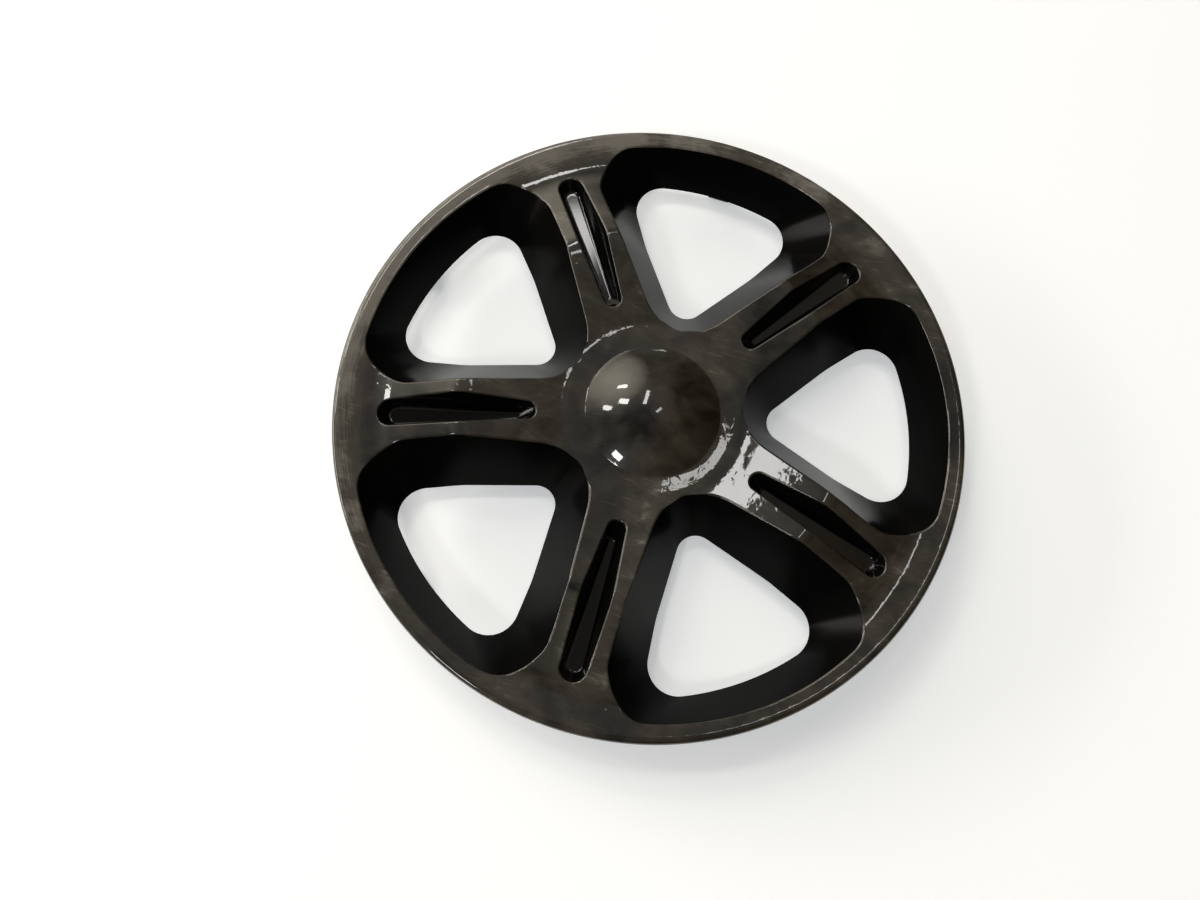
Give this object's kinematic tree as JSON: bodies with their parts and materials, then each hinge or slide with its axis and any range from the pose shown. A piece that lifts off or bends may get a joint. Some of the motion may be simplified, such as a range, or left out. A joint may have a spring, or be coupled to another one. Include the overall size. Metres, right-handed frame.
{
  "type": "wheel cover",
  "caption": "Round spoked wheel cap in gloss black plastic, with drafted windows, slotted spokes, a domed hub and clip legs holding a spring-wire ring.",
  "frame": {"origin": "centre of the wheel axis, at the plane of the clip legs' ends that the cap lies on", "axes": "+Z along the wheel axis, out of the face; one spoke points along -Y"},
  "size_m": [0.38, 0.38, 0.0523],
  "materials": {
    "black_plastic": "gloss moulded plastic with fine scratches",
    "spring_wire": "zinc-plated drawn wire"
  },
  "bodies": {
    "root": {"wheel_cover": "black_plastic", "retaining_ring": "spring_wire"}
  },
  "joints": []
}
